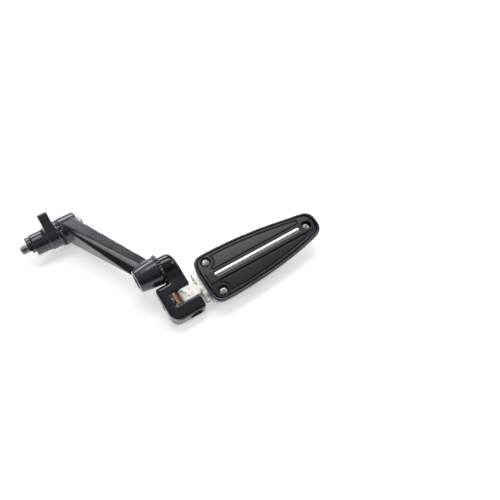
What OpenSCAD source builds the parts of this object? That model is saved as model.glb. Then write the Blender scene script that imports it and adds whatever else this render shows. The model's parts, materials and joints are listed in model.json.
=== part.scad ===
// Passenger peg bracket for a touring motorcycle, left hand.
// X is outward along the mounting bolt, Z is up. The origin is on the bolt's
// axis, at the end face of the round boss that enters the motorcycle's frame.
// From there outward: mount base, arm, clevis and folding foot peg.

/* [Fasteners and fits] */
// Radius of the 3/8 inch bolts and of the clevis pin
bolt_r = 4.76; // [3.9:0.05:5.1]
// Radius of a bolt's round head
head_r = 7.15; // [6.6:0.05:7.6]
// Height of a bolt's round head
head_h = 9.5; // [8:0.1:10.5]
// Hexagon key size across the flats of a bolt's head
key_flats = 7.94; // [6:0.05:8.5]
// Thickness of a split lock washer
lock_t = 1.8; // [1.2:0.1:2.2]
// Radial play of a shaft that turns in its bore
turn_gap = 0.06; // [0.03:0.01:0.1]
// Radial play of a part that is clamped or fixed
fix_gap = 0.2; // [0.1:0.05:0.3]
// Play between two flat faces that meet
face_gap = 0.1; // [0.05:0.05:0.2]
// Play round the lower bolt's head, which turns inside the arm
head_play = 0.5; // [0.3:0.05:0.8]

/* [Mount base] */
// Radius of the round boss
boss_r = 12; // [11.5:0.1:12.6]
// Length of the round boss up to the stop ears
boss_len = 16.5; // [14:0.5:19]
// Thickness of the two stop ears along the bolt
ear_t = 10.4; // [8:0.1:11]
// Reach of the ears from the bolt's axis
ear_r = 27; // [22:0.5:28]
// Width of each ear at its tip
ear_tip_w = 5; // [3:0.5:7]
// Width of each ear at its root
ear_w = 16.5; // [11:0.5:17.5]
// Angle of the level ear about the bolt, from +Y towards +Z
ear_low_angle = 10; // [0:1:20]
// Angle of the upright ear about the bolt
ear_high_angle = 76; // [70:1:90]
// Radius of the fillet behind each ear
ear_fillet = 4; // [2:0.5:5]
// Step of the boss's root above the boss, behind the ears
root_step = 0.3; // [0.2:0.1:0.6]
// Length of the neck between the ears and the seat of the arm
neck_len = 3; // [2.6:0.1:5]
// Radius of the neck
neck_r = 13.4; // [12.5:0.1:13.5]
// Radius of the seat flange at the neck's end
seat_r = 14.6; // [13.6:0.1:15]
// Radius of the spigot round the bolt at the boss's free end
spigot_r = 7.3; // [6.5:0.1:8]
// Length of that spigot
spigot_len = 4; // [3:0.5:5]
// Radius of the half-round key tab at the free end
key_r = 11; // [9.5:0.5:11.3]
// Height of the key tab's flat above the bolt's axis
key_flat = 4; // [3:0.5:6]
// Length of the key tab
key_len = 6; // [4:0.5:8]
// Length of thread that stands out past the spigot
thread_out = 10; // [7:0.5:20]
// Radius of that thread's crests
thread_r = 4.55; // [3.8:0.05:4.55]

/* [Lock rings] */
// Radius of the toothed ring at the upper joint
upper_ring_r = 15; // [13.5:0.1:15.3]
// Radius of the toothed ring at the lower joint
lower_ring_r = 16; // [15:0.1:16.4]
// Thickness of the upper ring
upper_ring_t = 1.9; // [1.2:0.1:2.4]
// Thickness of the lower ring
lower_ring_t = 2.6; // [1.8:0.1:3.2]
// Number of teeth on each ring's rim
ring_teeth = 36; // [24:1:48]
// Depth of those teeth
tooth_h = 0.6; // [0.3:0.05:0.8]

/* [Arm] */
// Level distance between the upper and the lower joint axes
arm_reach = 112.7; // [100:0.5:130]
// Height of the lower axis above the upper one
arm_rise = 8.9; // [0:0.1:14]
// Outward step of the arm from one hub to the other
arm_step = 44.9; // [42:0.1:50]
// Thickness of the bar, square to its length in plan
bar_t = 15.1; // [13:0.1:15.6]
// Radius of the upper hub
hub_r = 15.3; // [14.5:0.1:16]
// Width of the upper hub
hub_w = 16.9; // [15:0.1:18]
// Length of the rounded collar round the upper bolt's head
collar_len = 3.4; // [2.6:0.1:5]
// Radius of that collar's outer end
collar_end_r = 11; // [10:0.1:12.5]
// Depth of the bolt's seat below the collar's root
seat_depth = 4.2; // [2:0.1:5]
// Radius of the lower hub's outer face
lower_hub_r = 15.4; // [14.8:0.1:16]
// Radius of the lower hub's closed inner end
boss_end_r = 12; // [10.5:0.1:12.6]
// Width of the lower hub's round part
lower_hub_w = 13; // [11:0.5:15]
// Length of the tapered boss inside the lower hub
taper_len = 11; // [8:0.5:12]
// Half the bar's height at the lower hub
bar_low_r = 8.8; // [8:0.1:10.5]
// Width of the bar's top face at the upper axis
top_w_high = 14.2; // [13:0.1:14.6]
// Width of the bar's top face at the lower axis
top_w_low = 7.7; // [6:0.1:10]
// Height of the step beside the top face at the upper axis
step_h_high = 3; // [1:0.1:6]
// Height of that step at the lower axis
step_h_low = 14; // [8:0.1:15]
// Rise of the face below the step for each millimetre across
step_slope = 1.2; // [0.8:0.1:2.5]
// Depth of the flute in the bar's outer side
flute_depth = 2.8; // [1.5:0.1:3.5]
// Radius of that flute
flute_r = 17; // [12:0.5:18]

/* [Clevis] */
// Roll of the clevis and peg about the lower joint, as it is set here
clevis_roll = 15.5; // [0:0.5:25]
// Distance of the fork's middle from the lower joint axis
fork_offset = 36; // [33:0.5:40]
// Drop of the clevis pin below the lower joint axis
fork_drop = 4.5; // [2:0.1:6]
// Radius of the clevis hub
clevis_hub_r = 11.8; // [11:0.1:13.2]
// Width of the clevis hub
clevis_hub_w = 16.6; // [15:0.1:18]
// Half the height of the fork's ears
fork_half_h = 9; // [8.6:0.1:10]
// Thickness of the outer ear of the fork
fork_ear_t = 14.2; // [12:0.2:16]
// Distance from the clevis pin to the inner ear's free end
fork_nose = 8; // [7.2:0.1:8.6]
// Distance from the clevis pin to the outer ear's free end
outer_nose = 11.5; // [9:0.1:11.8]
// Reach of the fork block behind the pin
fork_back = 25; // [23:0.2:27]
// Depth of the slot behind the pin
slot_back = 15; // [14.8:0.1:17]
// Rounding of the fork block's outer back corner
fork_corner_r = 11.5; // [6:0.5:12]
// Rounding of the clevis's top and bottom edges
clevis_edge_r = 4; // [1.5:0.1:4.5]

/* [Male mount] */
// Thickness of the tongue between the ears
tongue_t = 13; // [11:0.1:14]
// Half the height of the tongue
tongue_half_h = 8; // [7.4:0.1:8.4]
// Distance from the pin to the tongue's end
tongue_end = 7.2; // [6.8:0.1:7.6]
// Rounding of that end's corners
tongue_corner_r = 5.5; // [3.6:0.1:6.4]
// Thickness of each thin washer beside the tongue
side_washer_t = 0.6; // [0.4:0.1:0.9]
// Distance from the pin to the mount's flange
tongue_len = 14.25; // [14:0.05:16]
// Width of the flange
flange_w = 33.5; // [30:0.5:38]
// Height of the flange
flange_h = 16.2; // [16.1:0.1:18]
// Thickness of the flange
flange_t = 3; // [2:0.1:4]
// Thickness of the shim between the flange and the peg
shim_t = 1.3; // [0.8:0.1:1.8]
// Length of the mount's threaded stud inside the peg
stud_len = 20; // [18.5:0.5:23]
// Radius of that stud
stud_r = 3.97; // [3.4:0.05:4.2]
// Width of the stud's nut across its flats
nut_flats = 12.7; // [11:0.1:12.8]

/* [Detent] */
// Thickness of each detent leaf
leaf_t = 1.1; // [0.5:0.05:1.1]
// Height of the leaves
leaf_h = 17; // [12:0.5:17]
// Radius of the detent screw's domed head
dome_r = 3.4; // [2.5:0.1:3.8]

/* [Peg] */
// Distance from the inner screws to the peg's inner end
peg_back = 13; // [12:0.2:15]
// Distance from the inner screws to the peg's outer tip
peg_front = 123; // [120:1:130]
// Half width of the peg at the root of its nose
nose_half_w = 15; // [12:0.5:18]
// Length of the rounded nose
nose_len = 11; // [8:0.5:14]
// Greatest half width of the peg
peg_half_w = 27; // [25:0.5:29]
// Height of the pad's middle above the clevis pin
pad_rise = 13; // [12.8:0.1:14]
// Thickness of the rubber pad at its middle
pad_t = 5.8; // [5.4:0.1:6.2]
// Radius of the pad's crown across its width
crown_r = 220; // [150:5:300]
// Depth of the peg pan below the pad at the inner end
pan_depth = 16; // [14.5:0.5:18]
// Rise of the pan's underside from the inner end to the tip
pan_taper = 8; // [4:0.5:9]
// Inset of the pan's sides for each millimetre down
pan_draft = 0.45; // [0.35:0.05:0.5]
// Width of the pan's rim round the pad
rim_w = 2.6; // [2:0.1:3]
// Depth of the rim's top below the pad's middle
rim_drop = 1.1; // [0.6:0.1:2]
// Rise of the rim towards the tip
rim_rise = 3.6; // [1:0.1:5]
// Thickness of the pan's walls and ribs
pan_wall = 3; // [2.4:0.1:3.5]
// Distance of the inner screws from the peg's centre line
screw_y = 17.2; // [15.5:0.1:18.5]
// Distance from the inner screws to the outer one
screw_x = 110.5; // [107:0.5:111]
// Depth of the screws' heads below the pad's middle
head_sink = 1; // [0.4:0.1:1.2]
// Radius of a pad screw's button head
button_r = 4; // [3.4:0.1:4.4]
// Height of that head
button_h = 2.4; // [1.8:0.1:2.6]
// Radius of a pad screw's shank
pad_screw_r = 2; // [1.6:0.05:2.3]
// Radius of the recess round each pad screw
recess_r = 5.4; // [5:0.1:5.8]
// Half the width of the pad's raised middle rib
rib_half_w = 5.9; // [5.6:0.1:8]
// Height of that rib above the panels
rib_h = 0.8; // [0.4:0.1:1.2]
// Width of the groove round each panel
groove_w = 1.2; // [0.6:0.1:1.4]
// Depth of that groove
groove_h = 0.9; // [0.5:0.1:1.2]
// Half the width of the bright strip
strip_half_w = 3; // [2.6:0.1:3.8]
// Distance from the inner screws to the strip's start
strip_x = 0.8; // [-2:0.1:3]
// Length of the bright strip
strip_len = 100.5; // [90:0.5:101]
// Height of the strip above the rib
strip_h = 0.9; // [0.5:0.1:1.4]

/* [Hidden] */
$fn = 64;
black = [0.09, 0.09, 0.1];
gloss_black = [0.05, 0.05, 0.06];
silver = [0.82, 0.82, 0.8];
steel = [0.6, 0.6, 0.6];
bronze = [0.62, 0.38, 0.2];
rubber = [0.14, 0.14, 0.15];
over = 1;                      // how far a cutter runs past the face it opens
hair = 0.02;                   // smallest offset that keeps two faces from coinciding

// Places along the upper joint's axis
ear_x = boss_len;
neck_x = ear_x + ear_t;
seat_x = neck_x + neck_len;
seat_t = 2.4;
upper_ring_x = seat_x + face_gap;
hub_x = upper_ring_x + upper_ring_t + face_gap;
hub_face_x = hub_x + hub_w;
spot_x = hub_face_x - seat_depth;
spot_r = head_r + 0.9;
base_washer_x = spot_x + face_gap;
base_head_x = base_washer_x + lock_t + face_gap;
thread_end_x = -spigot_len - thread_out;
thread_from = max(spigot_len, key_len) + 0.2;

// The bar between the hubs
hub_mid_x = hub_x + hub_w / 2;
bar_plan = atan(arm_step / arm_reach);
bar_level = norm([arm_step, arm_reach]);
bar_slope = atan(arm_rise / bar_level);
bar_len = norm([arm_step, arm_reach, arm_rise]);
hub_merge = 0.2;               // how far the bar's edges lie inside the upper hub's radius

// Places along the lower joint's axis
lower_mid_x = hub_mid_x + arm_step;
lower_hub_x = lower_mid_x - lower_hub_w / 2 + 1;
lower_face_x = lower_hub_x + lower_hub_w;
taper_x = lower_hub_x - taper_len;
lower_ring_x = lower_face_x + face_gap;
clevis_x = lower_ring_x + lower_ring_t + face_gap;
clevis_face_x = clevis_x + clevis_hub_w;
lower_head_x = taper_x + 1;
lower_washer_x = lower_head_x + head_h + face_gap;
lower_floor_x = lower_washer_x + lock_t + face_gap;
lower_bolt_end_x = clevis_face_x - 4;
clevis_bore_end_x = lower_bolt_end_x + 1;

// Places on the fork, along X and in the clevis's own rolled frame
pin_x = clevis_face_x - fork_nose;
slot_half_w = tongue_t / 2 + side_washer_t + 2 * face_gap;
fork_out_y = -slot_half_w - fork_ear_t;
fork_in_y = fork_offset - lower_ring_r - 1;
pin_blind_y = fork_offset - clevis_hub_r - 2;
pin_len = pin_blind_y - fork_out_y - 4;
snap_t = 1;
snap_recess = 3;
pin_out_y = fork_out_y + snap_recess + face_gap;

// How far the tongue's corners reach from the pin, with room to swing
tongue_swing = norm([tongue_end - tongue_corner_r, tongue_half_h - tongue_corner_r]) + tongue_corner_r + 0.2;

// Places on the peg, along X
flange_x = pin_x + tongue_len;
shim_x = flange_x + flange_t + face_gap;
pan_end_x = shim_x + shim_t + face_gap;
peg_x = pan_end_x + peg_back;
end_wall = 9;
stud_end = flange_t + stud_len;
nut_washer_x = pan_end_x + end_wall + face_gap;
nut_washer_t = 1.6;
nut_x = nut_washer_x + nut_washer_t + face_gap;
nut_h = 6.5;
nut_r = nut_flats / sqrt(3);
nut_well_half_w = nut_r + 1.2;
nut_well_top = -pad_rise + nut_flats / 2 + 0.25;
stud_tip_x = stud_end - (pan_end_x - flange_x) - peg_back;

// Heights on the peg, above the pad's middle as zero and down to the pan
deck_z = -pad_t + 0.6;
pad_bottom_z = deck_z + face_gap;
plate_t = 1;
plate_top_z = pad_bottom_z + plate_t;
seat_z = -button_h - head_sink;
rim_gap = 0.5;
pad_inset = rim_w + rim_gap;
plate_inset = pad_inset + 1.6;
insert_top_z = deck_z - face_gap;
insert_len = 6;
insert_r = pad_screw_r + 1.4;
screw_len = 9;
belly_z = deck_z - 1.5;
belly_steps = 6;
pan_floor_z = deck_z - pan_depth;
rib_top_z = rib_h;
post_r = 1.4;
post_xs = [strip_len * 0.14, strip_len * 0.84];
post_well_r = 4.4;
well_top_z = deck_z - 3;
strip_nut_r = 3.4;
strip_nut_t = 1;
post_bottom_z = well_top_z - strip_nut_t - 1.2;

// Moves along X and between the object's axes
module rod(x0, x1, r) {
    translate([x0, 0, 0]) rotate([0, 90, 0]) cylinder(h = x1 - x0, r = r);
}

// Turns a closed outline of [x, radius] points about the X axis
module turned(outline) {
    rotate([0, 90, 0]) rotate_extrude() polygon([for (p = outline) [p[1], p[0]]]);
}

// A block between two corners
module block(low, high) {
    translate(low) cube(high - low);
}

module at_lower() {
    translate([0, -arm_reach, arm_rise]) children();
}

module at_clevis() {
    at_lower() rotate([clevis_roll, 0, 0]) children();
}

// The fork's frame: the pin lies along Y through the point [pin_x, 0, 0]
module at_fork() {
    at_clevis() translate([0, -fork_offset, -fork_drop]) children();
}

// The peg's frame: X from the inner screws, Z from the pad's middle
module at_peg() {
    at_fork() translate([peg_x, 0, pad_rise]) children();
}

// The bar's frame: the bar runs along -Y from the upper hub's middle
module at_bar() {
    translate([hub_mid_x, 0, 0]) rotate([0, 0, bar_plan]) rotate([-bar_slope, 0, 0]) children();
}

// A ring with small teeth on its rim, from x0 to x0 + t
module toothed_ring(x0, t, r, bore_r) {
    rim = [for (i = [0 : 2 * ring_teeth - 1])
        let (a = 180 * i / ring_teeth, rr = r - (i % 2) * tooth_h) [rr * cos(a), rr * sin(a)]];
    difference() {
        translate([x0, 0, 0]) rotate([90, 0, 90]) linear_extrude(t) polygon(rim);
        rod(x0 - over, x0 + t + over, bore_r);
    }
}

// A round washer with a split, from x0 to x0 + t
module split_washer(x0, t, r, bore_r) {
    split_w = 1.2;
    difference() {
        rod(x0, x0 + t, r);
        rod(x0 - over, x0 + t + over, bore_r);
        block([x0 - over, 0, -split_w / 2], [x0 + t + over, r + over, split_w / 2]);
    }
}

// A socket head bolt along X: the head spans head_h from head_x, and dir is
// +1 when the shank runs towards +X and -1 when it runs towards -X. Past
// thread_from the shank has its thread's radius
module socket_bolt(head_x, shank_end_x, dir, thread_from = undef) {
    edge = 0.8;
    near = (dir > 0) ? head_x : head_x + head_h;
    far = (dir > 0) ? head_x + head_h : head_x;
    socket_depth = head_h * 0.55;
    tip_edge = 0.9;
    difference() {
        union() {
            turned([[near, 0], [near, head_r - edge], [near + dir * edge, head_r], [far, head_r], [far, 0]]);
            if (thread_from == undef)
                turned([[far - dir * over, 0], [far - dir * over, bolt_r], [shank_end_x - dir * tip_edge, bolt_r],
                        [shank_end_x, bolt_r - tip_edge], [shank_end_x, 0]]);
            else
                turned([[far - dir * over, 0], [far - dir * over, bolt_r], [thread_from, bolt_r], [thread_from, thread_r],
                        [shank_end_x - dir * tip_edge, thread_r], [shank_end_x, thread_r - tip_edge], [shank_end_x, 0]]);
        }
        translate([near - dir * over, 0, 0]) rotate([0, dir * 90, 0])
            cylinder(h = socket_depth + over, r = key_flats / sqrt(3), $fn = 6);
    }
}

module ear_outline() {
    tip_r = 1.2;
    root_r = boss_r - 2;
    straight = -ear_w / 2;
    slanted = straight + ear_tip_w;
    union() {
        polygon([[0, straight], [ear_r - tip_r, straight], [ear_r, straight + tip_r], [ear_r, slanted - tip_r],
                 [ear_r - tip_r, slanted], [boss_r, ear_w / 2], [0, ear_w / 2]]);
        circle(root_r);
    }
}

// One stop ear with a concave fillet up its back. Its straight flank faces the other
// ear, and side says which of its flanks is slanted
module ear(angle, side) {
    steps = 8;
    back = [for (i = [0 : steps])
        let (a = 90 * i / steps)
        [ear_x - ear_fillet + ear_fillet * sin(a), boss_r + root_step - hair + ear_fillet * (1 - cos(a))]];
    intersection() {
        rotate([angle, 0, 0]) translate([ear_x - ear_fillet - over, 0, 0]) rotate([90, 0, 90])
            linear_extrude(ear_t + ear_fillet + over) mirror([0, side, 0]) ear_outline();
        turned(concat([[ear_x - ear_fillet, 0]], back, [[ear_x, ear_r + over], [neck_x, ear_r + over], [neck_x, 0]]));
    }
}

module mount_base() {
    color(black) difference() {
        union() {
            rod(-spigot_len, over, spigot_r);
            rod(0, ear_x, boss_r);
            rod(ear_x - ear_fillet, ear_x + over, boss_r + root_step);
            rod(ear_x, seat_x, neck_r);
            turned([[seat_x - seat_t - 1, 0], [seat_x - seat_t - 1, neck_r - hair], [seat_x - seat_t, seat_r],
                    [seat_x - 0.5, seat_r], [seat_x, seat_r - 0.5], [seat_x, 0]]);
            ear(ear_low_angle, 1);
            ear(ear_high_angle, 0);
            intersection() {
                rod(-key_len, over, key_r);
                block([-key_len - over, -key_r, key_flat], [over, key_r, key_r + over]);
            }
        }
        rod(-key_len - over, seat_x + over, bolt_r + fix_gap);
    }
}

module upper_lock_ring() {
    color(black) toothed_ring(upper_ring_x, upper_ring_t, upper_ring_r, bolt_r + fix_gap);
}

module base_bolt() {
    color(silver) mirror([1, 0, 0]) socket_bolt(-base_head_x - head_h, -thread_end_x, 1, thread_from);
}

module base_bolt_washer() {
    color(steel) split_washer(base_washer_x, lock_t, head_r, bolt_r + fix_gap);
}

// The bar: a tapering side outline on a straight strip, cut off at the upper axis
module bar() {
    high_r = hub_r - hub_merge;
    difference() {
        at_bar() difference() {
            translate([-bar_t / 2, 0, 0]) rotate([90, 0, 90]) linear_extrude(bar_t)
                polygon([[-bar_len, -bar_low_r], [-bar_len, bar_low_r], [0, high_r],
                         [bar_t / 2, high_r], [bar_t / 2, -high_r], [0, -high_r]]);
            flute();
            step_cutter();
        }
        block([hub_x - hub_w, 0, -2 * hub_r], [hub_face_x + hub_w, bar_t, 2 * hub_r]);
    }
}

// A round-ended flute along the bar's outer side
module flute() {
    start = hub_r + 12;
    end = bar_len - lower_hub_r - 9;
    translate([bar_t / 2 + flute_r - flute_depth, 0, 0]) {
        translate([0, -start, 0]) rotate([90, 0, 0]) cylinder(h = end - start, r = flute_r);
        translate([0, -start, 0]) sphere(flute_r);
        translate([0, -end, 0]) sphere(flute_r);
    }
}

// Cuts a step beside the top face: the space beyond an upright plane and above a
// sloped one. Both planes run on from one hub to the other
module step_cutter() {
    corner_x = bar_t / 2 - top_w_high;
    corner_z = hub_r - hub_merge - step_h_high;
    in_per_mm = (top_w_high - top_w_low) / bar_len;
    down_per_mm = (corner_z - bar_low_r + step_h_low) / bar_len;
    side_tilt = -atan(step_slope);
    long_tilt = atan((down_per_mm + step_slope * in_per_mm) * cos(side_tilt));
    far = 2 * bar_len;
    intersection() {
        translate([corner_x, 0, 0]) rotate([0, 0, atan(in_per_mm)]) block([-far, -far, -far], [0, far, far]);
        translate([corner_x, 0, corner_z]) rotate([long_tilt, side_tilt, 0]) block([-far, -far, 0], [far, far, far]);
    }
}

// The collar falls from the hub's rim to its outer end along a quarter of an ellipse
module upper_hub() {
    steps = 10;
    collar = [for (i = [0 : steps])
        let (a = 90 * i / steps)
        [hub_face_x + collar_len * sin(a), collar_end_r + (hub_r - collar_end_r) * cos(a)]];
    turned(concat([[hub_x, 0], [hub_x, hub_r - 0.6], [hub_x + 0.6, hub_r]], collar, [[hub_face_x + collar_len, 0]]));
}

module lower_hub() {
    at_lower() turned([[taper_x, 0], [taper_x, boss_end_r - 1.2], [taper_x + 0.8, boss_end_r],
                       [taper_x + taper_len * 0.55, lower_hub_r - 2.4], [lower_hub_x + 1, lower_hub_r - 1.4],
                       [lower_face_x - 0.6, lower_hub_r], [lower_face_x, lower_hub_r - 0.6], [lower_face_x, 0]]);
}

module arm() {
    color(black) difference() {
        union() {
            upper_hub();
            lower_hub();
            bar();
        }
        block([hub_x - 2 * hub_w, -2 * hub_r, -2 * hub_r], [hub_x, 2 * hub_r, 2 * hub_r]);
        at_lower() block([lower_face_x, -2 * lower_hub_r, -2 * lower_hub_r],
                         [lower_face_x + lower_hub_w, 2 * lower_hub_r, 2 * lower_hub_r]);
        rod(hub_x - over, hub_face_x + over, bolt_r + turn_gap);
        rod(spot_x, hub_face_x + hub_w, spot_r);
        at_lower() rod(taper_x, lower_face_x + over, bolt_r + turn_gap);
        at_lower() rod(taper_x - over, lower_floor_x, head_r + head_play);
    }
}

module lower_lock_ring() {
    color(black) at_lower() toothed_ring(lower_ring_x, lower_ring_t, lower_ring_r, bolt_r + fix_gap);
}

// The clevis's hub, with a large round on its outer edge
module clevis_hub() {
    edge = 8;
    steps = 8;
    round_edge = [for (i = [0 : steps]) let (a = 90 * i / steps)
        [clevis_face_x - edge + edge * sin(a), clevis_hub_r - edge + edge * cos(a)]];
    at_clevis() turned(concat([[clevis_x, 0], [clevis_x, clevis_hub_r - 0.6], [clevis_x + 0.6, clevis_hub_r]],
                              round_edge, [[clevis_face_x, 0]]));
}

// A rectangle with its four corners rounded, from corner low to corner high
module round_rect(low, high, r) {
    translate([low[0] + r, low[1]]) square([high[0] - low[0] - 2 * r, high[1] - low[1]]);
    translate([low[0], low[1] + r]) square([high[0] - low[0], high[1] - low[1] - 2 * r]);
    for (x = [low[0] + r, high[0] - r], y = [low[1] + r, high[1] - r]) translate([x, y]) circle(r);
}

// The web falls from the hub to the fork's inner ear, ahead of the arm's hub
module clevis_web() {
    near_hub = clevis_hub_r - 0.3;
    slope_end = -fork_offset + fork_in_y;
    foot = -fork_offset + slot_half_w + 1;
    high = -fork_drop + fork_half_h - hair;
    low = -fork_drop - fork_half_h + hair;
    back_edge = 7;
    at_clevis() intersection() {
        translate([clevis_x, 0, 0]) rotate([90, 0, 90]) linear_extrude(clevis_hub_w)
            polygon([[0, near_hub], [slope_end, high], [foot, high], [foot, low], [slope_end, low], [0, -near_hub]]);
        translate([0, clevis_hub_r, 0]) rotate([90, 0, 0]) linear_extrude(clevis_hub_r + fork_offset)
            round_rect([clevis_x - 2 * back_edge, -clevis_hub_r - 2], [clevis_face_x - hair, clevis_hub_r], back_edge);
    }
}

// The outer ear runs on past the block, with the same rounding
module ear_tip() {
    r = clevis_edge_r;
    h = fork_half_h - hair;
    root_x = pin_x - r;
    tip_x = pin_x + outer_nose;
    low_y = fork_out_y + hair;
    at_fork() intersection() {
        translate([0, 0, -h]) linear_extrude(2 * h) round_rect([root_x, low_y], [tip_x, -slot_half_w], r);
        rotate([90, 0, 0]) linear_extrude(-low_y) round_rect([root_x, -h], [tip_x, h], r);
        translate([root_x, 0, 0]) rotate([90, 0, 90]) linear_extrude(tip_x - root_x)
            round_rect([low_y, -h], [2 * r, h], r);
    }
}

// The fork's block, rounded in plan and along its top and bottom edges
module fork_block() {
    back_x = pin_x - fork_back;
    r = clevis_edge_r;
    h = fork_half_h;
    at_fork() intersection() {
        translate([0, 0, -h]) linear_extrude(2 * h) union() {
            round_rect([back_x + fork_corner_r, fork_out_y], [clevis_face_x, fork_in_y], r);
            round_rect([back_x, fork_out_y + fork_corner_r], [clevis_face_x - r, fork_in_y], r);
            translate([back_x + fork_corner_r, fork_out_y + fork_corner_r]) circle(fork_corner_r);
        }
        translate([0, fork_in_y, 0]) rotate([90, 0, 0]) linear_extrude(fork_in_y - fork_out_y)
            round_rect([back_x, -h], [clevis_face_x, h], r);
        translate([back_x, 0, 0]) rotate([90, 0, 90]) linear_extrude(clevis_face_x - back_x)
            round_rect([fork_out_y, -h], [fork_in_y, h], r);
    }
}

module clevis() {
    color(gloss_black) difference() {
        union() {
            clevis_hub();
            clevis_web();
            fork_block();
            ear_tip();
        }
        at_fork() block([pin_x - slot_back, -slot_half_w, -2 * fork_half_h],
                        [pin_x + outer_nose + over, slot_half_w, 2 * fork_half_h]);
        at_clevis() rod(clevis_x - 2 * clevis_hub_w, clevis_bore_end_x, bolt_r + fix_gap);
        at_fork() translate([pin_x, pin_blind_y, 0]) rotate([90, 0, 0])
            cylinder(h = pin_blind_y - fork_out_y + over, r = bolt_r + fix_gap);
        at_fork() translate([pin_x, fork_out_y + snap_recess, 0]) rotate([90, 0, 0])
            cylinder(h = snap_recess + over, r = bolt_r + 1.6);
        at_fork() rod(pin_x - fork_back - over, pin_x - slot_back + over, dome_r * 0.75 + fix_gap);
    }
}

module clevis_bolt() {
    color(silver) at_clevis() socket_bolt(lower_head_x, lower_bolt_end_x, 1);
}

module clevis_bolt_washer() {
    color(steel) at_clevis() split_washer(lower_washer_x, lock_t, head_r - 0.1, bolt_r + fix_gap);
}

module clevis_pin() {
    edge = 0.8;
    long = pin_blind_y - 0.5 - pin_out_y;
    color(silver) at_fork() translate([pin_x, pin_out_y, 0]) rotate([-90, 0, 0]) rotate_extrude()
        polygon([[0, 0], [bolt_r - edge, 0], [bolt_r, edge], [bolt_r, long - edge], [bolt_r - edge, long], [0, long]]);
}

// An internal snap ring that keeps the pin in, open at the bottom
module pin_snap_ring() {
    color(steel) at_fork() translate([pin_x, pin_out_y - face_gap, 0]) rotate([90, 0, 0])
        linear_extrude(snap_t) difference() {
            circle(bolt_r + 1.6 - face_gap);
            circle(bolt_r - 0.6);
            translate([-1.5, -2 * bolt_r]) square([3, 2 * bolt_r]);
        }
}

module pin_side_washers() {
    color(steel) at_fork() for (s = [-1, 1])
        translate([pin_x, s * (tongue_t / 2 + face_gap + side_washer_t / 2), 0]) rotate([90, 0, 0])
            difference() {
                cylinder(h = side_washer_t, r = tongue_half_h - 0.4, center = true);
                cylinder(h = side_washer_t + over, r = bolt_r + fix_gap, center = true);
            }
}

// Flat leaves stand in the slot behind the tongue, counted from the tongue
module detent_leaf(n) {
    front_x = pin_x - tongue_swing - face_gap - n * (leaf_t + hair);
    at_fork() block([front_x - leaf_t, -tongue_t / 2, -leaf_h / 2], [front_x, tongue_t / 2, leaf_h / 2]);
}

module detent_leaf_1() { color(bronze) detent_leaf(0); }
module detent_leaf_2() { color(bronze) detent_leaf(1); }
module detent_leaf_3() { color(steel) detent_leaf(2); }

// A screw through the fork's back wall whose dome presses the leaves forward
module detent_screw() {
    root_x = pin_x - slot_back;
    dome_x = pin_x - tongue_swing - 2 * face_gap - 3 * (leaf_t + hair);
    dome_len = dome_x - root_x - face_gap;
    steps = 6;
    dome = [for (i = [0 : steps]) let (a = 90 * i / steps) [dome_x - dome_len * 0.6 * (1 - cos(a)), dome_r * sin(a)]];
    color(steel) at_fork() turned(concat(dome, [[root_x + face_gap, dome_r], [root_x + face_gap, dome_r * 0.75],
                                                [pin_x - fork_back + 0.5, dome_r * 0.75], [pin_x - fork_back + 0.5, 0]]));
}

// A plate across X with round ends
module oval_plate(x0, t, w, h) {
    translate([x0, 0, 0]) rotate([90, 0, 90]) linear_extrude(t) union() {
        square([w - h, h], center = true);
        for (side = [-1, 1]) translate([side * (w - h) / 2, 0]) circle(h / 2);
    }
}

module male_mount() {
    color(silver) at_fork() difference() {
        union() {
            translate([0, tongue_t / 2, 0]) rotate([90, 0, 0]) linear_extrude(tongue_t)
                round_rect([pin_x - tongue_end, -tongue_half_h], [pin_x + tongue_half_h, tongue_half_h], tongue_corner_r);
            block([pin_x, -tongue_t / 2, -tongue_half_h + hair],
                  [flange_x + flange_t / 2, tongue_t / 2, tongue_half_h - hair]);
            oval_plate(flange_x, flange_t, flange_w, flange_h);
            rod(flange_x + flange_t / 2, flange_x + stud_end, stud_r);
        }
        translate([pin_x, tongue_t / 2 + over, 0]) rotate([90, 0, 0])
            cylinder(h = tongue_t + 2 * over, r = bolt_r + turn_gap);
    }
}

module mount_shim() {
    color(silver) at_fork() difference() {
        oval_plate(shim_x, shim_t, flange_w + 1, flange_h + 0.6);
        rod(shim_x - over, shim_x + shim_t + over, stud_r + fix_gap);
    }
}

module mount_nut() {
    color(steel) at_fork() difference() {
        translate([nut_x, 0, 0]) rotate([0, 90, 0]) rotate([0, 0, 30]) cylinder(h = nut_h, r = nut_r, $fn = 6);
        rod(nut_x - over, nut_x + nut_h + over, stud_r + turn_gap);
    }
}

module mount_nut_washer() {
    color(steel) at_fork() difference() {
        rod(nut_washer_x, nut_washer_x + nut_washer_t, nut_flats / 2);
        rod(nut_washer_x - over, nut_washer_x + nut_washer_t + over, stud_r + fix_gap);
    }
}

// The peg's plan outline, drawn in by inset d, and by inset e at the inner end.
// The sides fall away from the widest place as the square of the distance, the
// nose rounds them off, and the inner end is a squarer curve with two corners
wide_x = 5;
nose_x = peg_front - nose_len;
nose_power = 2.8;
outer_n = 12;
inner_n = 8;
nose_n = 8;
function side_half(x, d) = peg_half_w - d - (peg_half_w - nose_half_w) * pow((x - wide_x) / (nose_x - wide_x), 2);
function side_points(d, e) = concat(
    [for (i = [0 : inner_n - 1]) let (a = 90 * (1 - i / inner_n))
        [wide_x - (peg_back + wide_x - e) * sqrt(sin(a)), (peg_half_w - d) * sqrt(cos(a))]],
    [for (i = [0 : outer_n]) let (x = wide_x + (nose_x - wide_x) * i / outer_n) [x, side_half(x, d)]],
    [for (i = [1 : nose_n - 1]) let (a = 90 * i / nose_n, x = nose_x + (nose_len - d) * pow(sin(a), 2 / nose_power))
        [x, side_half(x, d) * pow(cos(a), 2 / nose_power)]]);
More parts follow.
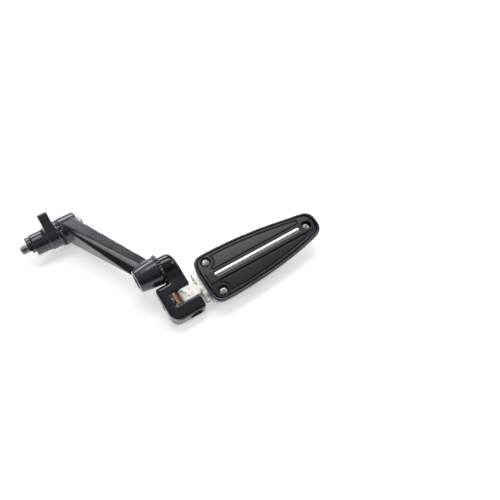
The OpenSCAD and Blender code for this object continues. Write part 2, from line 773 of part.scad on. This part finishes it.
function peg_points(d, e) = let (side = side_points(d, e)) concat(side, [[peg_front - d, 0]],
    [for (i = [len(side) - 1 : -1 : 1]) [side[i][0], -side[i][1]]]);

module peg_layer(z0, z1, d, e) {
    translate([0, 0, z0]) linear_extrude(z1 - z0) polygon(peg_points(d, e));
}

screw_spots = [[0, screw_y], [0, -screw_y], [screw_x, 0]];

// Straight wells in the pan's underside between its ribs
module pan_wells() {
    well_w = 20;
    start = 13;
    count = 3;
    near = pan_wall / 2 + post_well_r;
    for (i = [0 : count - 1]) {
        x0 = start + i * (well_w + pan_wall);
        half = side_half(x0 + well_w, pan_draft * (belly_z - pan_floor_z) + pan_wall);
        if (half > near + 1) for (s = [0, 1]) mirror([0, s, 0])
            block([x0, near, pan_floor_z - over], [x0 + well_w, half, well_top_z]);
    }
}

// The pan's sides draw in step by step below its deck, but not at the inner end
module pan_body() {
    flank = belly_z - pan_floor_z;
    union() {
        peg_layer(belly_z, deck_z, 0.2, 0.2);
        for (i = [0 : belly_steps - 1])
            peg_layer(belly_z - flank * (i + 1) / belly_steps, belly_z - flank * i / belly_steps + hair,
                      0.4 + pan_draft * flank * (i + 0.5) / belly_steps, 0.3);
    }
}

// A raised rim round the pad. Its top is level along the pad and climbs to the tip
module pan_rim() {
    rise_x = peg_front * 0.68;
    steps = 6;
    top = [for (i = [0 : steps]) let (t = i / steps) [rise_x + (peg_front - rise_x) * t, rim_rise * t * t - rim_drop]];
    intersection() {
        difference() {
            peg_layer(deck_z - over, rim_rise, 0, 0);
            peg_layer(deck_z, rim_rise + over, rim_w, rim_w);
        }
        translate([0, 2 * peg_half_w, 0]) rotate([90, 0, 0]) linear_extrude(4 * peg_half_w)
            polygon(concat([[-peg_back - over, deck_z - 2 * over], [-peg_back - over, -rim_drop]], top,
                           [[peg_front + over, rim_rise - rim_drop], [peg_front + over, deck_z - 2 * over]]));
    }
}

module peg_pan() {
    slope = atan(pan_taper / peg_front);
    color(black) at_peg() difference() {
        union() {
            pan_body();
            pan_rim();
        }
        translate([-peg_back, 0, pan_floor_z]) rotate([0, -slope, 0])
            block([-20, -2 * peg_half_w, -2 * pan_depth], [2 * peg_front, 2 * peg_half_w, 0]);
        pan_wells();
        for (p = screw_spots) {
            low_z = (p[0] > 0) ? pan_floor_z : insert_top_z - insert_len - 2;
            translate([p[0], p[1], low_z]) cylinder(h = deck_z - low_z + over, r = insert_r + face_gap);
        }
        for (x = post_xs) {
            translate([x + strip_x, 0, pan_floor_z - over]) cylinder(h = well_top_z - pan_floor_z + over, r = post_well_r);
            translate([x + strip_x, 0, well_top_z - over]) cylinder(h = 2 * pad_t, r = post_r + fix_gap);
        }
        translate([-peg_back, 0, -pad_rise]) rod(-over, end_wall + over, stud_r + fix_gap);
        block([end_wall - peg_back, -nut_well_half_w, pan_floor_z - over],
              [stud_tip_x + 2, nut_well_half_w, nut_well_top]);
    }
}

module pan_inserts() {
    color(bronze) at_peg() for (p = screw_spots) translate([p[0], p[1], insert_top_z - insert_len]) difference() {
        cylinder(h = insert_len, r = insert_r);
        translate([0, 0, -over]) cylinder(h = insert_len + 2 * over, r = pad_screw_r + 0.05);
    }
}

module pad_plate() {
    color(steel) at_peg() difference() {
        peg_layer(pad_bottom_z, plate_top_z - face_gap, plate_inset, plate_inset);
        for (p = screw_spots) translate([p[0], p[1], deck_z - over]) cylinder(h = pad_t, r = pad_screw_r + fix_gap);
        for (x = post_xs) translate([x + strip_x, 0, deck_z - over]) cylinder(h = pad_t, r = post_r + fix_gap);
    }
}

// A panel's outline beside the rib, on the +Y side, drawn in by d
module panel_outline(d) {
    edge_gap = 5.5;
    tip_gap = 5;
    difference() {
        polygon(peg_points(edge_gap + d, edge_gap + d));
        translate([-2 * peg_back, -2 * peg_half_w]) square([2 * peg_front, 2 * peg_half_w + rib_half_w + d]);
        translate([0, screw_y]) circle(recess_r + 2.2 + d);
        translate([-2 * peg_back, 0]) square([2 * peg_back + 1.5 + d, 2 * peg_half_w]);
        translate([screw_x - tip_gap - d, 0]) square([2 * peg_back, 2 * peg_half_w]);
    }
}

// The grooves' floor keeps one depth below the crown
module panel_grooves() {
    difference() {
        for (s = [0, 1]) mirror([0, s, 0]) translate([0, 0, deck_z]) linear_extrude(2 * pad_t) difference() {
            panel_outline(0);
            panel_outline(groove_w);
        }
        translate([0, 0, -crown_r]) rod(-2 * peg_back, 2 * peg_front, crown_r - groove_h, $fn = 720);
    }
}

// The pad's crown is a large cylinder along X, with the flat rib standing on it
module rubber_pad() {
    strip_r = strip_half_w + 0.15;
    edge_gap = 6;
    color(rubber) at_peg() difference() {
        union() {
            intersection() {
                peg_layer(pad_bottom_z, over, pad_inset, pad_inset);
                translate([0, 0, -crown_r]) rod(-2 * peg_back, 2 * peg_front, crown_r, $fn = 720);
            }
            translate([0, 0, -over]) linear_extrude(over + rib_top_z) intersection() {
                polygon(peg_points(edge_gap, edge_gap));
                translate([-peg_back, -rib_half_w]) square([peg_front + peg_back, 2 * rib_half_w]);
            }
        }
        peg_layer(deck_z, plate_top_z, plate_inset - face_gap, plate_inset - face_gap);
        panel_grooves();
        for (p = screw_spots) {
            translate([p[0], p[1], deck_z - over]) cylinder(h = pad_t + 2 * over, r = pad_screw_r + fix_gap);
            translate([p[0], p[1], seat_z]) cylinder(h = pad_t, r = recess_r);
        }
        translate([0, 0, rib_top_z - 1]) linear_extrude(over + 1) strip_outline(strip_r);
        for (x = post_xs) translate([x + strip_x, 0, deck_z - over]) cylinder(h = 2 * pad_t, r = post_r + fix_gap);
    }
}

module pad_screws() {
    steps = 6;
    top = [for (i = [0 : steps]) let (a = 90 * i / steps) [button_r * sin(a), button_h * (0.35 + 0.65 * cos(a))]];
    color(silver) at_peg() for (p = screw_spots) translate([p[0], p[1], seat_z + hair]) difference() {
        union() {
            rotate_extrude() polygon(concat([[0, 0]], top, [[button_r, 0]]));
            translate([0, 0, -screw_len]) cylinder(h = screw_len + over, r = pad_screw_r);
        }
        translate([0, 0, button_h - 1.3]) cylinder(h = 2, r = pad_screw_r * 0.72, $fn = 6);
    }
}

module strip_outline(r) {
    reach = strip_len - 2 * strip_half_w;
    translate([strip_half_w + strip_x, 0]) {
        circle(r);
        translate([0, -r]) square([reach, 2 * r]);
        translate([reach, 0]) circle(r);
    }
}

// The strip's top is a shallow cylinder, and two posts hold it
module chrome_strip() {
    bow_r = 9;
    color(silver) at_peg() union() {
        intersection() {
            translate([0, 0, rib_top_z - 0.9]) linear_extrude(strip_h + 0.9) strip_outline(strip_half_w);
            translate([0, 0, rib_top_z + strip_h - bow_r]) rod(-peg_back, peg_front, bow_r);
        }
        for (x = post_xs) translate([x + strip_x, 0, post_bottom_z])
            cylinder(h = rib_top_z - post_bottom_z, r = post_r);
    }
}

module strip_nuts() {
    color(steel) at_peg() for (x = post_xs) translate([x + strip_x, 0, well_top_z - face_gap - strip_nut_t]) difference() {
        cylinder(h = strip_nut_t, r = strip_nut_r);
        translate([0, 0, -over]) cylinder(h = strip_nut_t + 2 * over, r = post_r + 0.05);
    }
}

mount_base();
upper_lock_ring();
base_bolt();
base_bolt_washer();
arm();
lower_lock_ring();
clevis();
clevis_bolt();
clevis_bolt_washer();
clevis_pin();
pin_snap_ring();
pin_side_washers();
detent_leaf_1();
detent_leaf_2();
detent_leaf_3();
detent_screw();
male_mount();
mount_shim();
mount_nut();
mount_nut_washer();
peg_pan();
pan_inserts();
pad_plate();
rubber_pad();
pad_screws();
chrome_strip();
strip_nuts();
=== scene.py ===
"""Passenger peg bracket: black coated base, arm and clevis, and a folding peg with a rubber pad."""
import json

import bmesh
import bpy
import numpy as np
from mathutils import Matrix, Vector


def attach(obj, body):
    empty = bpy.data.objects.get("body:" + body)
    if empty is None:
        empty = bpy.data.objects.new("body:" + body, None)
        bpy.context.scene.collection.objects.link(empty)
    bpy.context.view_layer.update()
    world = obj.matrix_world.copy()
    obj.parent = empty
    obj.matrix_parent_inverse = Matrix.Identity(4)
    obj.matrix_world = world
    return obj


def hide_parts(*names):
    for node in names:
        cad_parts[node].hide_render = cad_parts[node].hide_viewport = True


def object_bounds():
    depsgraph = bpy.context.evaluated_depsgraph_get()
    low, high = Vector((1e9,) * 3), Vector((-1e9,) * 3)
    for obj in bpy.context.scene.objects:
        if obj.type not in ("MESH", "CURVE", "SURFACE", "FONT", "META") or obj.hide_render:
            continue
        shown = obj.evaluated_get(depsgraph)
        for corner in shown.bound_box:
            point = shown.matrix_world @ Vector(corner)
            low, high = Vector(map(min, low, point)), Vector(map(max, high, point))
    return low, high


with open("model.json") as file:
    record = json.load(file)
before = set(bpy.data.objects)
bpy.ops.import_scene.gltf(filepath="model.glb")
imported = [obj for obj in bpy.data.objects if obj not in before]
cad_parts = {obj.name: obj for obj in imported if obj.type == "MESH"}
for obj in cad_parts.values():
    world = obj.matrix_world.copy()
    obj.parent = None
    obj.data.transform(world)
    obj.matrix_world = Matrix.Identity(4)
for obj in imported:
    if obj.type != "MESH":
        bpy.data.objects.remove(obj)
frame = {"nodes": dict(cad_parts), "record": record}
cad_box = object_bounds()
nodes = frame["nodes"]
MM = 0.001


# Materials

def linear(hex_colour):
    """sRGB hex to linear: c / 12.92 below 0.04045, else ((c + 0.055) / 1.055) ** 2.4."""
    c = np.array([int(hex_colour[i:i + 2], 16) / 255 for i in (0, 2, 4)])
    c = np.where(c <= 0.04045, c / 12.92, ((c + 0.055) / 1.055) ** 2.4)
    return (*c.tolist(), 1.0)


def add(tree, kind, settings=None, links=None, **attributes):
    """Adds one node, sets its sockets by name or number, and links sockets from other nodes' outputs."""
    made = tree.nodes.new(kind)
    for name, value in attributes.items():
        setattr(made, name, value)
    for name, value in (settings or {}).items():
        made.inputs[name].default_value = value
    for name, output in (links or {}).items():
        tree.links.new(output, made.inputs[name])
    return made


def material(name):
    """An empty material with its Principled shader and the object coordinates."""
    look = bpy.data.materials.new(name)
    look.use_nodes = True
    tree = look.node_tree
    tree.nodes.clear()
    shader = add(tree, "ShaderNodeBsdfPrincipled")
    add(tree, "ShaderNodeOutputMaterial", links={"Surface": shader.outputs[0]})
    place = add(tree, "ShaderNodeTexCoord").outputs["Object"]
    return look, tree, shader, place


def coat(name, colour, thin_colour, rough, clear_rough, peel_mm, peel_height_mm, under=0.5):
    """Black coat on cast or forged metal. Its colour drifts where it lies thinner, its
    gloss drifts with it, and an orange peel of soft dimples breaks up the reflections."""
    drift_mm = 17
    dust_mm = 0.9
    dust_colour = "3c3d40"
    dust_cover = 0.35
    sheen_colour = "e0e6ff"
    smoothest = rough * 0.85
    roughest = rough * 1.2
    look, tree, shader, place = material(name)
    drift = add(tree, "ShaderNodeTexNoise", {"Scale": 1 / (drift_mm * MM), "Detail": 4.0}, {"Vector": place})
    thin = add(tree, "ShaderNodeMapRange", {"From Min": 0.42, "From Max": 0.68},
               {"Value": drift.outputs["Fac"]})
    speck = add(tree, "ShaderNodeTexNoise", {"Scale": 1 / (dust_mm * MM), "Detail": 2.0}, {"Vector": place})
    dust = add(tree, "ShaderNodeMapRange", {"From Min": 0.72, "From Max": 0.84, "To Max": dust_cover},
               {"Value": speck.outputs["Fac"]})
    bare = add(tree, "ShaderNodeMix", {"A": linear(colour), "B": linear(thin_colour)},
               {"Factor": thin.outputs[0]}, data_type="RGBA")
    tint = add(tree, "ShaderNodeMix", {"B": linear(dust_colour)},
               {"Factor": dust.outputs[0], "A": bare.outputs["Result"]}, data_type="RGBA")
    gloss = add(tree, "ShaderNodeMapRange",
                {"From Min": 0.35, "From Max": 0.7, "To Min": smoothest, "To Max": roughest},
                {"Value": drift.outputs["Fac"]})
    peel = add(tree, "ShaderNodeTexNoise", {"Scale": 1 / (peel_mm * MM), "Detail": 1.5}, {"Vector": place})
    dimples = add(tree, "ShaderNodeBump", {"Strength": 1.0, "Distance": peel_height_mm * MM},
                  {"Height": peel.outputs["Fac"]})
    shader.inputs["Specular IOR Level"].default_value = under
    shader.inputs["Specular Tint"].default_value = linear(sheen_colour)
    shader.inputs["Coat Weight"].default_value = 1.0
    shader.inputs["Coat Roughness"].default_value = clear_rough
    tree.links.new(tint.outputs["Result"], shader.inputs["Base Color"])
    tree.links.new(gloss.outputs[0], shader.inputs["Roughness"])
    tree.links.new(dimples.outputs[0], shader.inputs["Normal"])
    tree.links.new(dimples.outputs[0], shader.inputs["Coat Normal"])
    return look


def metal(name, colour, stain, stain_from, stain_mm, rough, line_mm, line_axis, line_height_mm, bare=1.0):
    """Bare or plated metal. Stains lie in patches, and fine lines run along one axis,
    where a tool or the rolling of the sheet left them."""
    line_stretch = 14
    stain_edge = 0.14
    stain_dulls = 0.16
    lines_dull = 0.5
    look, tree, shader, place = material(name)
    patch = add(tree, "ShaderNodeTexNoise", {"Scale": 1 / (stain_mm * MM), "Detail": 6.0, "Roughness": 0.6},
                {"Vector": place})
    stained = add(tree, "ShaderNodeMapRange", {"From Min": stain_from, "From Max": stain_from + stain_edge},
                  {"Value": patch.outputs["Fac"]})
    tint = add(tree, "ShaderNodeMix", {"A": linear(colour), "B": linear(stain)},
               {"Factor": stained.outputs[0]}, data_type="RGBA")
    along = [1 / (line_mm * MM)] * 3
    along["xyz".index(line_axis)] /= line_stretch
    stretched = add(tree, "ShaderNodeMapping", {"Scale": along}, {"Vector": place})
    lines = add(tree, "ShaderNodeTexNoise", {"Scale": 1.0, "Detail": 3.0}, {"Vector": stretched.outputs[0]})
    spread = add(tree, "ShaderNodeMath", {1: lines_dull, 2: rough - lines_dull / 2},
                 {0: lines.outputs["Fac"]}, operation="MULTIPLY_ADD")
    dull = add(tree, "ShaderNodeMath", {1: stain_dulls}, {0: stained.outputs[0], 2: spread.outputs[0]},
               operation="MULTIPLY_ADD")
    scratch = add(tree, "ShaderNodeBump", {"Strength": 1.0, "Distance": line_height_mm * MM},
                  {"Height": lines.outputs["Fac"]})
    shader.inputs["Metallic"].default_value = bare
    tree.links.new(tint.outputs["Result"], shader.inputs["Base Color"])
    tree.links.new(dull.outputs[0], shader.inputs["Roughness"])
    tree.links.new(scratch.outputs[0], shader.inputs["Normal"])
    return look


def rubber(name, colour, worn_colour, grain_mm, grain_height_mm):
    """Moulded black rubber. The mould's fine grain gives a satin sheen, and the
    surface is greyer in patches where bloom and rubbing have dried it."""
    bloom_mm = 22
    fine_share = 0.6
    rough = 0.30
    dry_roughens = 0.12
    look, tree, shader, place = material(name)
    patch = add(tree, "ShaderNodeTexNoise", {"Scale": 1 / (bloom_mm * MM), "Detail": 5.0}, {"Vector": place})
    dry = add(tree, "ShaderNodeMapRange", {"From Min": 0.45, "From Max": 0.75},
              {"Value": patch.outputs["Fac"]})
    tint = add(tree, "ShaderNodeMix", {"A": linear(colour), "B": linear(worn_colour)},
               {"Factor": dry.outputs[0]}, data_type="RGBA")
    cells = add(tree, "ShaderNodeTexVoronoi", {"Scale": 1 / (grain_mm * MM), "Randomness": 1.0},
                {"Vector": place})
    fine = add(tree, "ShaderNodeTexNoise", {"Scale": 1 / (grain_mm * fine_share * MM), "Detail": 2.0},
               {"Vector": place})
    grain = add(tree, "ShaderNodeMath", {1: fine_share},
                {0: cells.outputs["Distance"], 2: fine.outputs["Fac"]},
                operation="MULTIPLY_ADD")
    relief = add(tree, "ShaderNodeBump", {"Strength": 1.0, "Distance": grain_height_mm * MM},
                 {"Height": grain.outputs[0]})
    gloss = add(tree, "ShaderNodeMath", {1: dry_roughens, 2: rough},
                {0: patch.outputs["Fac"]}, operation="MULTIPLY_ADD")
    tree.links.new(tint.outputs["Result"], shader.inputs["Base Color"])
    tree.links.new(gloss.outputs[0], shader.inputs["Roughness"])
    tree.links.new(relief.outputs[0], shader.inputs["Normal"])
    return look


looks = {
    # Epoxy powder coat, sprayed and baked: satin, nearly black with a cold tint, soft
    # orange peel about 2 mm across, and a few specks of dust
    "black_coat": coat("satin_black_powder_coat", "0a0c13", "12141c", 0.30, 0.22, 2.6, 0.02),
    # The same coat under a clear gloss: mirror-like, with long waves in its highlights
    "gloss_black_coat": coat("gloss_black_powder_coat", "070912", "0b0e18", 0.24, 0.04, 5.0, 0.04, 0.2),
    # The same coat on a die-cast pan: a little greyer and glossier than on the forged pieces
    "black_coat_pan": coat("satin_black_die_cast_coat", "0b0d14", "13151c", 0.30, 0.16, 2.4, 0.02),
    # Zinc plate on a rolled or headed steel fastener: pale grey with a dull spangle
    "zinc_steel": metal("zinc_plated_steel", "a9a8a3", "77756e", 0.50, 3.0, 0.30, 0.5, "x", 0.01),
    # The same plate on a rolled thread, darkened by oil and grit between its crests
    "thread": metal("oiled_steel_thread", "74726e", "3f3d3a", 0.45, 1.5, 0.36, 0.4, "x", 0.01),
    # Ground spring steel: darker grey with grinding lines
    "spring_steel": metal("ground_spring_steel", "8e8c86", "5f5c55", 0.55, 4.0, 0.34, 0.4, "z", 0.015),
    # Bright nickel on a cast tongue: warm silver, stained grey-brown in patches
    "nickel_plate": metal("worn_nickel_plate", "f2efe8", "8b8171", 0.53, 6.0, 0.45, 0.7, "x", 0.02, 0.55),
    # Heat-tinted copper alloy leaf: dull red-brown with darker blotches
    "copper_spring": metal("tarnished_copper", "8f4a36", "57291d", 0.50, 2.5, 0.42, 0.4, "z", 0.01),
    # Bronze leaf and brass inserts: brown-gold, tarnished in patches
    "bronze_spring": metal("tarnished_bronze", "8c6136", "573a20", 0.52, 3.0, 0.40, 0.4, "z", 0.01),
    # Compression moulded nitrile rubber: the grain is drawn at 0.8 mm, about twice real
    # size, so that it shows
    "pad_rubber": rubber("moulded_black_rubber", "10131c", "181b24", 0.8, 0.012),
    # Polished and chrome plated steel: a mirror with faint polishing lines
    "bright_chrome": metal("polished_chrome", "b4b6b8", "9fa1a3", 0.50, 9.0, 0.16, 0.3, "x", 0.003),
}
slot_of = {part["node"]: part["material_slot"] for part in frame["record"]["subparts"]}
body_of = {node: body for body, held in frame["record"]["behaviour"]["bodies"].items() for node in held}
for node, slot in slot_of.items():
    nodes[node].data.materials.clear()
    nodes[node].data.materials.append(looks[slot])


# Cast, forged and moulded pieces

def flowing(node, cell_mm, passes):
    """A copy of a node whose corners and joins flow into each other, as a mould or a die
    leaves them: the solid is cut into cells and its skin is smoothed over a few of them."""
    mesh = nodes[node].data.copy()
    merged = bmesh.new()
    merged.from_mesh(mesh)
    bmesh.ops.remove_doubles(merged, verts=merged.verts, dist=0.001 * MM)
    merged.to_mesh(mesh)
    merged.free()
    piece = bpy.data.objects.new(node + "_skin", mesh)
    bpy.context.scene.collection.objects.link(piece)
    cells = piece.modifiers.new("cells", "REMESH")
    cells.mode = "VOXEL"
    cells.voxel_size = cell_mm * MM
    cells.use_smooth_shade = True
    flow = piece.modifiers.new("flow", "SMOOTH")
    flow.factor = 0.5
    flow.iterations = passes
    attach(piece, body_of[node])
    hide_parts(node)


flowing("mount_base", cell_mm=0.42, passes=5)
flowing("arm", cell_mm=0.52, passes=8)
flowing("clevis", cell_mm=0.45, passes=30)
flowing("peg_pan", cell_mm=0.62, passes=8)
flowing("rubber_pad", cell_mm=0.42, passes=3)


# Thread on the frame bolt

def screw_thread(name, start_x, end_x, root_r, crest_r, pitch):
    """A thread round the X axis, in millimetres. Place along the axis and angle are the
    two parameters: the radius climbs from root to crest and back once a pitch, and the
    phase turns with the angle. Both ends fade to the root over one pitch and are closed
    by a fan of triangles to the axis."""
    around = 64
    rows_a_turn = 12
    flank = 1.6
    valley = 0.3
    steps = int(round((end_x - start_x) / pitch * rows_a_turn))
    x = np.linspace(start_x, end_x, steps)[:, None]
    angle = np.linspace(0, 2 * np.pi, around, endpoint=False)[None, :]
    phase = (x / pitch + angle / (2 * np.pi)) % 1.0
    ridge = np.clip(flank * (1 - np.abs(2 * phase - 1)) - valley, 0, 1)
    fade = np.clip(np.minimum(x - start_x, end_x - x) / pitch, 0, 1)
    r = root_r + (crest_r - root_r) * ridge * fade
    skin = np.stack([x + 0 * angle, r * np.cos(angle), r * np.sin(angle)], axis=2).reshape(-1, 3)
    verts = np.concatenate([skin, [[start_x, 0, 0], [end_x, 0, 0]]]) * MM
    i, j = np.meshgrid(np.arange(steps - 1), np.arange(around), indexing="ij")
    here, above = i * around, (i + 1) * around
    k = (j + 1) % around
    quads = np.stack([here + j, here + k, above + k, above + j], axis=2).reshape(-1, 4)
    j = np.arange(around)
    k = (j + 1) % around
    last = (steps - 1) * around
    first_cap = np.stack([k, j, np.full(around, len(skin))], axis=1)
    last_cap = np.stack([last + j, last + k, np.full(around, len(skin) + 1)], axis=1)
    mesh = bpy.data.meshes.new(name)
    mesh.from_pydata(verts.tolist(), [], quads.tolist() + first_cap.tolist() + last_cap.tolist())
    mesh.validate()
    mesh.shade_smooth()
    piece = bpy.data.objects.new(name, mesh)
    bpy.context.scene.collection.objects.link(piece)
    piece.data.materials.append(looks["thread"])
    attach(piece, "base")


# A 3/8 inch thread of 16 turns an inch, where the bolt stands out of the base
screw_thread("frame_bolt_thread", start_x=-12.7, end_x=-6.1, root_r=4.5, crest_r=4.76, pitch=25.4 / 16)


# Camera: its place and its three directions were fitted to both brackets in the photo

picture_px = 500
lens_px = 593.15
sensor_mm = 36.0
camera_place_mm = (6.969, -466.622, 479.982)
right = Vector((0.840997, -0.537985, -0.057421))
up = Vector((0.455404, 0.646583, 0.611995))
ahead = Vector((0.292117, 0.540835, -0.788774))

camera = bpy.data.cameras.new("camera")
camera.sensor_width = sensor_mm
camera.lens = sensor_mm * lens_px / picture_px
camera.clip_start = 0.01
camera.clip_end = 20
view = bpy.data.objects.new("camera", camera)
bpy.context.scene.collection.objects.link(view)
turn = Matrix((right, up, -ahead)).transposed().to_4x4()
view.matrix_world = Matrix.Translation(Vector(camera_place_mm) * MM) @ turn
bpy.context.scene.camera = view


# Floor

floor_gap = 0.2 * MM
floor_half = 3.0
floor_white = 0.9
floor_glow = 0.48

floor_z = cad_box[0].z - floor_gap
corners = [(x * floor_half, y * floor_half, floor_z) for x, y in ((-1, -1), (1, -1), (1, 1), (-1, 1))]
floor_mesh = bpy.data.meshes.new("floor")
floor_mesh.from_pydata(corners, [], [(0, 1, 2, 3)])
floor = bpy.data.objects.new("floor", floor_mesh)
bpy.context.scene.collection.objects.link(floor)

# White matt paper. Its glow is seen by the camera and in reflections, and lights nothing.
paper, tree, shader, place = material("white_paper_floor")
shader.inputs["Base Color"].default_value = (floor_white, floor_white, floor_white, 1)
shader.inputs["Roughness"].default_value = 0.8
shader.inputs["Specular IOR Level"].default_value = 0.1
rays = add(tree, "ShaderNodeLightPath")
seen = add(tree, "ShaderNodeMath", {}, {0: rays.outputs["Is Camera Ray"], 1: rays.outputs["Is Glossy Ray"]},
           operation="MAXIMUM")
seen = add(tree, "ShaderNodeMath", {}, {0: seen.outputs[0], 1: rays.outputs["Is Transmission Ray"]},
           operation="MAXIMUM")
glow = add(tree, "ShaderNodeMath", {1: floor_glow}, {0: seen.outputs[0]}, operation="MULTIPLY")
shader.inputs["Emission Color"].default_value = (1, 1, 1, 1)
tree.links.new(glow.outputs[0], shader.inputs["Emission Strength"])
floor_mesh.materials.append(paper)


# Light: a room that is dim at the height of the table and lighter overhead, and four lamps

world = bpy.data.worlds.new("studio")
bpy.context.scene.world = world
world.use_nodes = True
sky = world.node_tree
toward = add(sky, "ShaderNodeTexCoord").outputs["Generated"]
height = add(sky, "ShaderNodeSeparateXYZ", {}, {"Vector": toward})
level = add(sky, "ShaderNodeMapRange", {"From Min": 0.2, "From Max": 0.85, "To Min": 0.04, "To Max": 0.36},
            {"Value": height.outputs["Z"]})
sky.nodes["Background"].inputs["Color"].default_value = (0.96, 0.98, 1.0, 1)
sky.links.new(level.outputs[0], sky.nodes["Background"].inputs["Strength"])


bracket_middle = Vector((0.1, -0.08, 0))


def soft_box(name, place, wide, deep, watts):
    """A rectangular area lamp at a place, facing the bracket's middle, its wide side along X."""
    lamp = bpy.data.lights.new(name, "AREA")
    lamp.shape = "RECTANGLE"
    lamp.size = wide
    lamp.size_y = deep
    lamp.energy = watts
    holder = bpy.data.objects.new(name, lamp)
    bpy.context.scene.collection.objects.link(holder)
    away = (Vector(place) - bracket_middle).normalized()
    side = Vector((1, 0, 0)) - away * away.x
    side.normalize()
    turned = Matrix((side, away.cross(side), away)).transposed().to_4x4()
    holder.matrix_world = Matrix.Translation(place) @ turned


soft_box("key", (0.48, 0.28, 1.2), wide=1.3, deep=0.42, watts=7.5)
soft_box("back", (0.25, 1.15, 0.72), wide=1.1, deep=0.35, watts=8)
soft_box("left", (-1.0, -0.3, 0.95), wide=0.35, deep=0.35, watts=2.5)
soft_box("right", (1.2, -0.5, 0.7), wide=0.5, deep=0.5, watts=3)

bpy.context.scene.view_settings.view_transform = "Standard"
